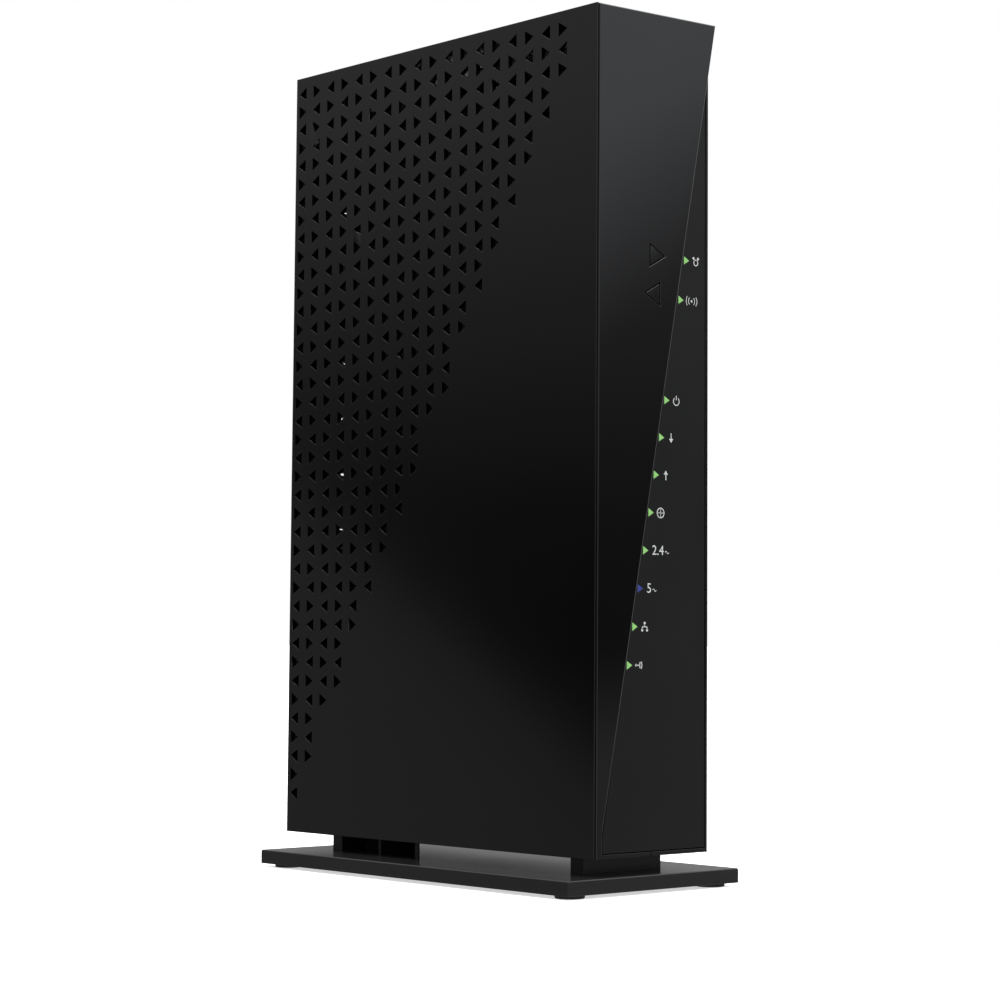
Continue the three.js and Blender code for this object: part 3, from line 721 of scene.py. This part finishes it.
bands = [rectangle(rear_low.x - joint, rear_low.x + band_width, rear_low.z, rear_high.z - band_width),
         rectangle(rear_high.x - band_width, rear_high.x + joint, rear_low.z, rear_high.z - band_width),
         rectangle(rear_low.x, rear_high.x, rear_high.z - band_width + 0.02 * mm, rear_high.z + joint)]
for node in ("usb_port_1", "usb_port_2", "lan_jack_1", "lan_jack_2", "lan_jack_3", "lan_jack_4",
             "dc_inlet"):
    low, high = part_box(node)
    bands.append(rectangle(low.x - band_width, low.x - band_gap, low.z - band_end, high.z + band_end))
    bands.append(rectangle(high.x + band_gap, high.x + band_width, low.z - band_end, high.z + band_end))
# These dark bands sit just behind the joints, as painted shade in place of the shade inside them.
rear_shade_sheets = slab("rear_joint_shade", bands, rear_low.y - 0.3 * mm, rear_low.y - 0.05 * mm)
fit(rear_shade_sheets, "body", "panel_black", joint_shade_sheet)

rear_print_x = 12.5 * mm
rear_sign_size = 3.2 * mm
for index in range(4):
    low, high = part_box(f"lan_jack_{index + 1}")
    print_number(f"jack_number_{index + 1}", str(index + 1), rear_print_x + 0.8 * mm,
                 (low.z + high.z) / 2, 3 * mm, rear_high.y, 1)
for node, tiles in (("usb_port_1", socket_sign()), ("usb_port_2", socket_sign()),
                    ("power_button", power_sign())):
    low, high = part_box(node)
    print_symbol(f"rear_sign_{node}", tiles, rear_print_x, (low.z + high.z) / 2,
                 rear_sign_size, rear_high.y, 1)
low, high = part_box("coax_nut")
print_symbol("rear_sign_coax_nut", wired_sign(), (low.x + high.x) / 2, high.z + 3.4 * mm,
             rear_sign_size, rear_high.y, 1)

# ---- Rear sockets ----
# Black moulded network jacks with eight gilt contact wires, folded steel USB shells with a
# tongue, a power inlet with a steel pin, and a nickel coaxial connector.
socket_plastic = plastic("socket_plastic", (0.012, 0.012, 0.013), (0.018, 0.018, 0.019), 0.38, 0.5)
tinned_steel = plastic("tinned_steel", (0.55, 0.55, 0.54), (0.66, 0.66, 0.65), 0.22, 0.36,
                       grain=500, bump=0.03, drift=60, metallic=1)
gilt = plastic("gilt_contacts", (0.75, 0.52, 0.2), (0.85, 0.62, 0.28), 0.2, 0.3, bump=0.02, metallic=1)
nickel = plastic("nickel_plate", (0.6, 0.57, 0.52), (0.7, 0.67, 0.62), 0.18, 0.3,
                 bump=0.03, drift=80, metallic=1)


def strip(name, route, width_axis, width, thickness):
    """A bent flat wire that follows route, swept as a square-edged ribbon."""
    shape = bmesh.new()
    rings = []
    across = Vector(width_axis) * width / 2
    for i, point in enumerate(route):
        ahead = Vector(route[min(i + 1, len(route) - 1)]) - Vector(route[max(i - 1, 0)])
        lift = across.normalized().cross(ahead.normalized()) * thickness / 2
        centre = Vector(point)
        rings.append([shape.verts.new(centre + a + b) for a, b in
                      ((across, lift), (-across, lift), (-across, -lift), (across, -lift))])
    for near, far in zip(rings, rings[1:]):
        for i in range(4):
            j = (i + 1) % 4
            shape.faces.new([near[i], near[j], far[j], far[i]])
    shape.faces.new(rings[0][::-1])
    shape.faces.new(rings[-1])
    bmesh.ops.recalc_face_normals(shape, faces=shape.faces)
    return from_shape(name, shape)


def joined(name, pieces):
    """Several new objects as one."""
    shape = bmesh.new()
    for piece in pieces:
        shape.from_mesh(piece.data)
        bpy.data.objects.remove(piece)
    return from_shape(name, shape)


contact_pitch = 1.02 * mm
for index in range(4):
    node = f"lan_jack_{index + 1}"
    jack = round_edges(solid_copy(node, node + "_housing"), 0.2 * mm)
    fit(jack, "body", "socket_black", socket_plastic, node)
    low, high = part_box(node)
    z = (low.z + high.z) / 2
    floor_x = low.x + 1.5 * mm
    wires = []
    for wire in range(8):
        wire_z = z + (wire - 3.5) * contact_pitch
        bends = ((0.2, 3), (0.4, 4), (2.6, 9), (3.2, 12.6))
        route = [(floor_x + lift * mm, high.y - depth * mm, wire_z) for lift, depth in bends]
        wires.append(strip("wire", route, (0, 0, 1), 0.35 * mm, 0.2 * mm))
    fit(joined(f"jack_contacts_{index + 1}", wires), "body", "nickel", gilt)

for index in range(2):
    node = f"usb_port_{index + 1}"
    shell = round_edges(solid_copy(node, node + "_shell"), 0.25 * mm)
    fit(shell, "body", "shield_steel", tinned_steel, node)
    low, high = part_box(node)
    z = (low.z + high.z) / 2
    tongue_x = low.x + 1.7 * mm
    outline = rectangle(tongue_x - 0.1 * mm, tongue_x + 1.9 * mm, z - 5.7 * mm, z + 5.7 * mm)
    tongue = slab(node + "_tongue_cover", [outline], high.y - 1.4 * mm, high.y - 12.8 * mm)
    round_edges(tongue, 0.2 * mm)
    fit(tongue, "body", "socket_black", socket_plastic)
    pads = []
    for offset in (-3.5, -1, 1, 3.5):
        route = [(tongue_x + 1.95 * mm, high.y - d * mm, z + offset * mm) for d in (2.6, 6, 10)]
        pads.append(strip("pad", route, (0, 0, 1), 1 * mm, 0.16 * mm))
    fit(joined(f"usb_contacts_{index + 1}", pads), "body", "nickel", gilt)


def turned(name, centre, profile, axis="Y", steps=48):
    """A lathe-turned solid: profile is a list of (radius, distance along the axis)."""
    turn = {"Y": Matrix.Rotation(-pi / 2, 4, "X"), "Z": Matrix.Identity(4)}[axis]
    shape = bmesh.new()
    rings = []
    turns = [i * tau / steps for i in range(steps)]
    for radius, distance in profile:
        if radius == 0:
            ring = [shape.verts.new((0, 0, distance))] * steps
        else:
            ring = [shape.verts.new((radius * cos(a), radius * sin(a), distance)) for a in turns]
        rings.append(ring)
    for near, far in zip(rings, rings[1:]):
        for i in range(steps):
            j = (i + 1) % steps
            corners = []
            for vert in (near[i], near[j], far[j], far[i]):
                if vert not in corners:
                    corners.append(vert)
            if len(corners) > 2:
                shape.faces.new(corners)
    bmesh.ops.transform(shape, matrix=Matrix.Translation(centre) @ turn, verts=shape.verts)
    bmesh.ops.recalc_face_normals(shape, faces=shape.faces)
    return from_shape(name, shape)


def thread_profile(radius, depth, start, end, pitch):
    """The zigzag outline of a cut thread between two distances."""
    points = []
    turns = int((end - start) / pitch)
    for i in range(turns):
        points.append((radius - depth, start + i * pitch))
        points.append((radius, start + (i + 0.4) * pitch))
        points.append((radius, start + (i + 0.6) * pitch))
    points.append((radius - depth, start + turns * pitch))
    return points


low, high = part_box("coax_connector")
coax_centre = Vector(((low.x + high.x) / 2, 0, (low.z + high.z) / 2))
coax_radius = 4.7 * mm
nut_low, nut_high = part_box("coax_nut")
outer = high.y
barrel_profile = [
    (0, low.y + 2 * mm), (3.7 * mm, low.y + 2 * mm), (3.7 * mm, outer - 0.25 * mm), (3.9 * mm, outer),
    (4.2 * mm, outer),
    *reversed(thread_profile(coax_radius, 0.4 * mm, nut_high.y - 0.5 * mm, outer - 0.4 * mm, 0.8 * mm)),
    (coax_radius - 0.1 * mm, nut_high.y - 0.6 * mm), (coax_radius - 0.1 * mm, low.y + 3.2 * mm),
    (5.3 * mm, low.y + 3.2 * mm), (5.5 * mm, low.y + 2.9 * mm), (5.5 * mm, low.y + 0.2 * mm),
    (5.3 * mm, low.y), (0, low.y),
]
barrel = round_edges(turned("coax_barrel", coax_centre, barrel_profile), 0.04 * mm, 1)
fit(barrel, "body", "nickel", nickel, "coax_connector")

# The nut is a hexagon whose corners are turned down to a chamfer on both faces.
nut = solid_copy("coax_nut", "coax_hex_nut")
nut_face_radius = 6.3 * mm
nut_corner_radius = 7.05 * mm
nut_chamfer = 0.45 * mm
cut(nut, turned("chamfer", coax_centre, [
    (0, nut_low.y), (nut_face_radius, nut_low.y), (nut_corner_radius, nut_low.y + nut_chamfer),
    (nut_corner_radius, nut_high.y - nut_chamfer), (nut_face_radius, nut_high.y), (0, nut_high.y)]),
    "INTERSECT")
round_edges(nut, 0.12 * mm)
fit(nut, "body", "nickel", nickel, "coax_nut")

dielectric = plastic("dielectric", (0.72, 0.7, 0.64), (0.8, 0.78, 0.72), 0.4, 0.5)
low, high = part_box("coax_insulator")
core = turned("coax_core", coax_centre, [
    (0, low.y), (3.4 * mm, low.y), (3.4 * mm, high.y - 0.3 * mm), (3.1 * mm, high.y), (1.1 * mm, high.y),
    (0.6 * mm, high.y - 0.6 * mm), (0.6 * mm, high.y - 6 * mm), (0, high.y - 6 * mm)])
fit(round_edges(core, 0.05 * mm, 1), "body", "insulator_white", dielectric, "coax_insulator")

inlet = round_edges(solid_copy("dc_inlet", "dc_inlet_housing"), 0.2 * mm, 2, 35)
fit(inlet, "body", "socket_black", socket_plastic, "dc_inlet")
low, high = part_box("dc_inlet")
inlet_centre = Vector((high.x - 5 * mm, 0, (low.z + high.z) / 2))
pin = turned("dc_pin_sleeve", inlet_centre, [
    (0, low.y + 4 * mm), (1.15 * mm, low.y + 4 * mm), (1.15 * mm, high.y - 1.4 * mm),
    (0.9 * mm, high.y - 0.95 * mm), (0, high.y - 0.9 * mm)])
fit(round_edges(pin, 0.05 * mm, 1), "body", "nickel", nickel)

# ---- Rear buttons ----
# A square power button on a shaft, and a small round reset button that sits back in its hole
# and needs a pin to reach it.
button_plastic = plastic("button_plastic", (0.02, 0.02, 0.02), (0.026, 0.026, 0.026), 0.36, 0.44)
power_cap = round_edges(solid_copy("power_button", "power_button_cap"), 0.5 * mm, 4)
fit(power_cap, "power_button", "panel_black", button_plastic, "power_button")
low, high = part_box("reset_button")
reset_centre = Vector(((low.x + high.x) / 2, 0, (low.z + high.z) / 2))
reset_cap = turned("reset_button_cap", reset_centre, [
    (0, low.y), (2.4 * mm, low.y), (2.4 * mm, low.y + 1.2 * mm), (1.05 * mm, low.y + 1.4 * mm),
    (1.05 * mm, high.y - 0.3 * mm), (0.75 * mm, high.y), (0, high.y)])
fit(round_edges(reset_cap, 0.06 * mm), "reset_button", "panel_black", button_plastic, "reset_button")

# ---- Screws ----
# Zinc plated cross-head screws: two in the rear panel, four under the stand, and smaller ones
# that hold the two circuit boards.
zinc = plastic("zinc_plate", (0.5, 0.51, 0.52), (0.62, 0.63, 0.65), 0.28, 0.42,
               grain=700, bump=0.04, drift=90, metallic=1)
screw_axes = {"rear_screw": ("Y", 1), "stand_screw": ("Z", -1), "main_board_screw": ("X", 1),
              "status_board_screw": ("Y", 1)}
axis_index = {"X": 0, "Y": 1, "Z": 2}
small_head_radius = 2.4 * mm


def cross_recess(radius, depth):
    """A plus-shaped pocket to sink into a screw head, around the axis, mouth at distance 0."""
    arm = radius * 0.62
    half = radius * 0.13
    outline = []
    for quarter in range(4):
        turn = Matrix.Rotation(quarter * pi / 2, 2)
        for u, v in ((arm, -half), (arm, half), (half, half)):
            outline.append(turn @ Vector((u, v)))
    shape = bmesh.new()
    top = [shape.verts.new((p.x, p.y, depth * 0.3)) for p in reversed(outline)]
    bottom = [shape.verts.new((p.x * 0.75, p.y * 0.75, -depth)) for p in reversed(outline)]
    shape.faces.new(top)
    shape.faces.new(bottom[::-1])
    for i in range(len(top)):
        j = (i + 1) % len(top)
        shape.faces.new([top[j], top[i], bottom[i], bottom[j]])
    bmesh.ops.recalc_face_normals(shape, faces=shape.faces)
    return from_shape("recess", shape)


def cross_screw(node, axis, way):
    """A pan-head screw in the place of a frame screw: domed head, cross recess and cut thread."""
    low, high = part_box(node)
    k = axis_index[axis]
    size = high - low
    head_r = size[(k + 1) % 3] / 2
    length = size[k]
    head_t = (1.2 if head_r < small_head_radius else 1.6) * mm
    shank_r = head_r * 0.42
    thread = thread_profile(shank_r, 0.12 * shank_r, head_t + 0.4 * mm, length - 0.8 * mm, 0.5 * mm)
    profile = [(0, 0), (head_r * 0.55, -0.06 * head_t), (head_r * 0.85, -0.3 * head_t),
               (head_r, -0.7 * head_t), (head_r * 0.98, -head_t), (shank_r, -head_t),
               *[(radius, -distance) for radius, distance in thread], (0, -length)]
    body = turned(node + "_metal", Vector((0, 0, 0)), profile, "Z", 32)
    cut(body, cross_recess(head_r, head_t * 0.7))
    face = {"Z": Matrix.Identity(4) if way > 0 else Matrix.Rotation(pi, 4, "X"),
            "Y": Matrix.Rotation(-way * pi / 2, 4, "X"), "X": Matrix.Rotation(way * pi / 2, 4, "Y")}[axis]
    top = (low + high) / 2
    top[k] = high[k] if way > 0 else low[k]
    body.data.transform(Matrix.Translation(top) @ face)
    return fit(round_edges(body, 0.05 * mm, 1), "body", "screw_steel", zinc, node)


for node in sorted(frame["nodes"]):
    family = node.rsplit("_", 1)[0]
    if family in screw_axes:
        cross_screw(node, *screw_axes[family])

# ---- Stand ----
# One satin black moulding: a flat plate, wider than the body, with a bevelled top edge and two
# short necks that carry the body. Four screws go up through it.
stand_plastic = plastic("stand_plastic", (0.017, 0.017, 0.0172), (0.021, 0.021, 0.0212), 0.2, 0.23,
                        grain=1500, bump=0.006, specular=0.36)
stand = round_edges(solid_copy("stand", "stand_moulding"), 0.12 * mm)
fit(stand, "body", "satin_black", stand_plastic, "stand")

# ---- Feet ----
# Soft black rubber discs glued into round pockets under the plate's corners, with a rounded
# lip and two shallow grooves in the sole.
rubber = plastic("foot_rubber", (0.012, 0.012, 0.012), (0.02, 0.02, 0.02), 0.75, 0.9,
                 grain=3200, bump=0.3)
foot_lip = 0.35 * mm
for index in range(4):
    node = f"foot_{index + 1}"
    low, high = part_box(node)
    r = (high.x - low.x) / 2
    centre = Vector(((low.x + high.x) / 2, (low.y + high.y) / 2, 0))
    profile = [(0, high.z), (r, high.z)]
    lip_turns = [i * pi / 12 for i in range(7)]
    profile += [(r - foot_lip + foot_lip * cos(a), low.z + foot_lip - foot_lip * sin(a))
                for a in lip_turns]
    for groove in (0.7, 0.4):
        g = r * groove
        profile += [(g + 0.3 * mm, low.z), (g + 0.15 * mm, low.z + 0.2 * mm),
                    (g - 0.15 * mm, low.z + 0.2 * mm), (g - 0.3 * mm, low.z)]
    profile += [(0, low.z)]
    pad = turned(node + "_pad", centre, profile, "Z", 48)
    fit(round_edges(pad, 0.05 * mm, 1), "body", "foot_rubber", rubber, node)

# ---- Inside ----
# What the case holds: two green circuit boards with their chips, shield cans, switches and
# heat sink, and three antennas on thin leads. They show only as dark shapes behind the vents.
solder_mask = plastic("solder_mask", (0.006, 0.03, 0.014), (0.012, 0.05, 0.024), 0.3, 0.4,
                      drift=160, bump=0.08)
chip_epoxy = plastic("chip_epoxy", (0.012, 0.012, 0.013), (0.02, 0.02, 0.021), 0.5, 0.65, bump=0.15)
sink_metal = plastic("sink_metal", (0.42, 0.43, 0.45), (0.5, 0.51, 0.53), 0.35, 0.5,
                     grain=400, bump=0.06, metallic=1)
sleeve = plastic("capacitor_sleeve", (0.012, 0.028, 0.09), (0.018, 0.036, 0.11), 0.25, 0.35)
lead_jacket = plastic("lead_jacket", (0.06, 0.063, 0.068), (0.08, 0.083, 0.09), 0.4, 0.5)
ribbon_film = plastic("ribbon_film", (0.62, 0.62, 0.58), (0.72, 0.72, 0.68), 0.35, 0.45, bump=0.03)
inside_finish = {"board_green": solder_mask, "chip_black": chip_epoxy, "shield_steel": tinned_steel,
                 "heat_sink_aluminium": sink_metal, "capacitor_sleeve": sleeve, "lead_grey": lead_jacket,
                 "ribbon_white": ribbon_film}
shown = {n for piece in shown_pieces() for n in piece.get("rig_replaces", [])}
for row in frame["record"]["subparts"]:
    node = row["node"]
    if node in shown:
        continue
    inner = frame["nodes"][node]
    inner.data.materials.clear()
    inner.data.materials.append(inside_finish[row["material_slot"]])
